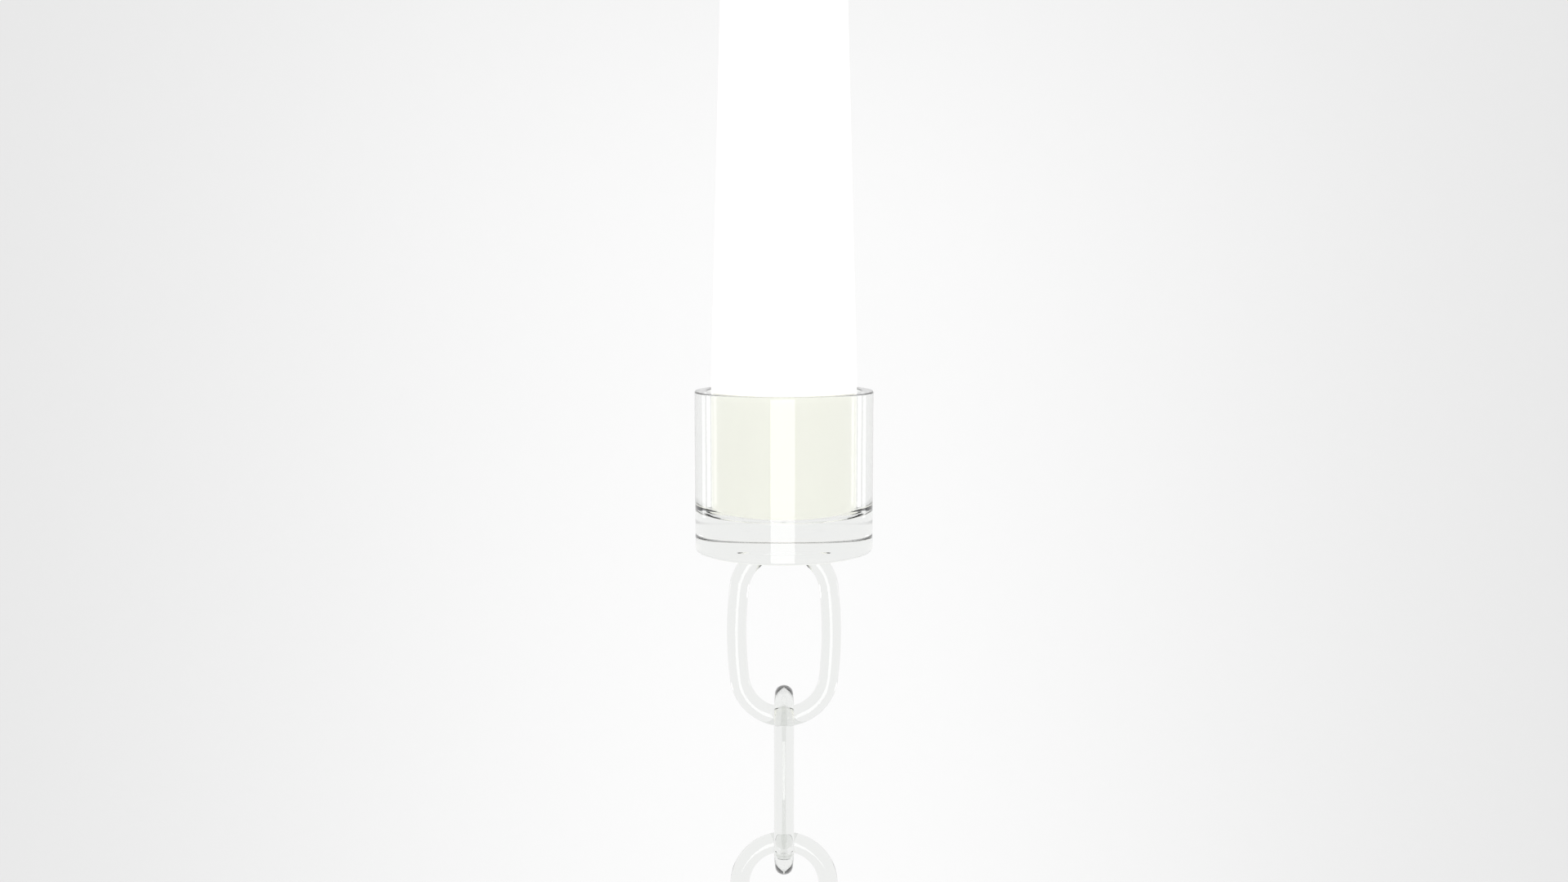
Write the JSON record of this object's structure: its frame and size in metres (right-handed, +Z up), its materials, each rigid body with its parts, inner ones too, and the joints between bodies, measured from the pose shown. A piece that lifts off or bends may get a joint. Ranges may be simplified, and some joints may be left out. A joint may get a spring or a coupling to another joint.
{
  "type": "hanging tube lamp",
  "caption": "Tapered opal glass tube lamp hung from a turned swivel cap, with a thick clear glass end cup and a chain of clear glass oval links below.",
  "frame": {"origin": "centre of the suspension eye's bore", "axes": "+Z up along the lamp's length; the eye's bore runs along Y; the fused loop lies in the XZ plane"},
  "size_m": [0.058, 0.058, 0.6159],
  "materials": {
    "clear_glass": "fire-polished clear glass",
    "opal_glass": "blown opal white glass, lit from inside",
    "clear_bond": "cured clear adhesive",
    "clear_polycarbonate": "clear moulded polycarbonate",
    "clear_silicone": "translucent silicone",
    "satin_nickel": "satin nickel plate on turned brass",
    "bright_steel": "zinc-plated steel",
    "blackened_steel": "black oxide steel",
    "brass": "turned brass",
    "mill_aluminium": "extruded, mill finish",
    "white_nylon": "moulded nylon",
    "black_rubber": "moulded rubber",
    "green_board": "solder-resist on board",
    "green_terminal": "moulded polyamide",
    "black_component": "moulded epoxy",
    "white_board": "white solder-resist on board",
    "phosphor": "silicone with phosphor",
    "red_sleeve": "extruded sleeve"
  },
  "bodies": {
    "hanger": {"suspension_loop": "satin_nickel", "cable_bushing": "black_rubber", "loop_set_screw": "blackened_steel", "threaded_nipple": "brass", "nipple_nut": "brass"},
    "lamp": {"slip_washer": "white_nylon", "stop_dowel": "blackened_steel", "top_cap": "satin_nickel", "cap_screws": "blackened_steel", "carrier_plate": "white_nylon", "lip_gasket": "clear_silicone", "regulator_board": "green_board", "board_parts": "black_component", "terminal_block": "green_terminal", "board_spacers": "brass", "board_screws": "bright_steel", "spine_screw": "bright_steel", "led_spine": "mill_aluminium", "led_strip_front": "white_board", "led_strip_back": "white_board", "led_strip_left": "white_board", "led_strip_right": "white_board", "led_packages": "phosphor", "lead_wires": "red_sleeve", "spider_upper": "clear_polycarbonate", "spider_lower": "clear_polycarbonate", "spine_foot": "clear_silicone", "opal_tube": "opal_glass", "bond_pad": "clear_bond", "glass_cup": "clear_glass", "cup_loop": "clear_glass"},
    "link_2": {"link_2": "clear_glass"},
    "link_3": {"link_3": "clear_glass"},
    "link_4": {"link_4": "clear_glass"}
  },
  "joints": [
    {"name": "lamp_swivel", "type": "hinge", "parent": "hanger", "child": "lamp", "pos_m": [0, 0, -0.02405], "axis": [0, 0, 1], "range_deg": [-155, 155]},
    {"name": "link_2_swing", "type": "hinge", "parent": "lamp", "child": "link_2", "pos_m": [0, 0, -0.4536], "axis": [1, 0, 0], "range_deg": [-90, 90]},
    {"name": "link_3_swing", "type": "hinge", "parent": "link_2", "child": "link_3", "pos_m": [0, 0, -0.5037], "axis": [0, 1, 0], "range_deg": [-90, 90]},
    {"name": "link_4_swing", "type": "hinge", "parent": "link_3", "child": "link_4", "pos_m": [0, 0, -0.5538], "axis": [1, 0, 0], "range_deg": [-90, 90]}
  ]
}
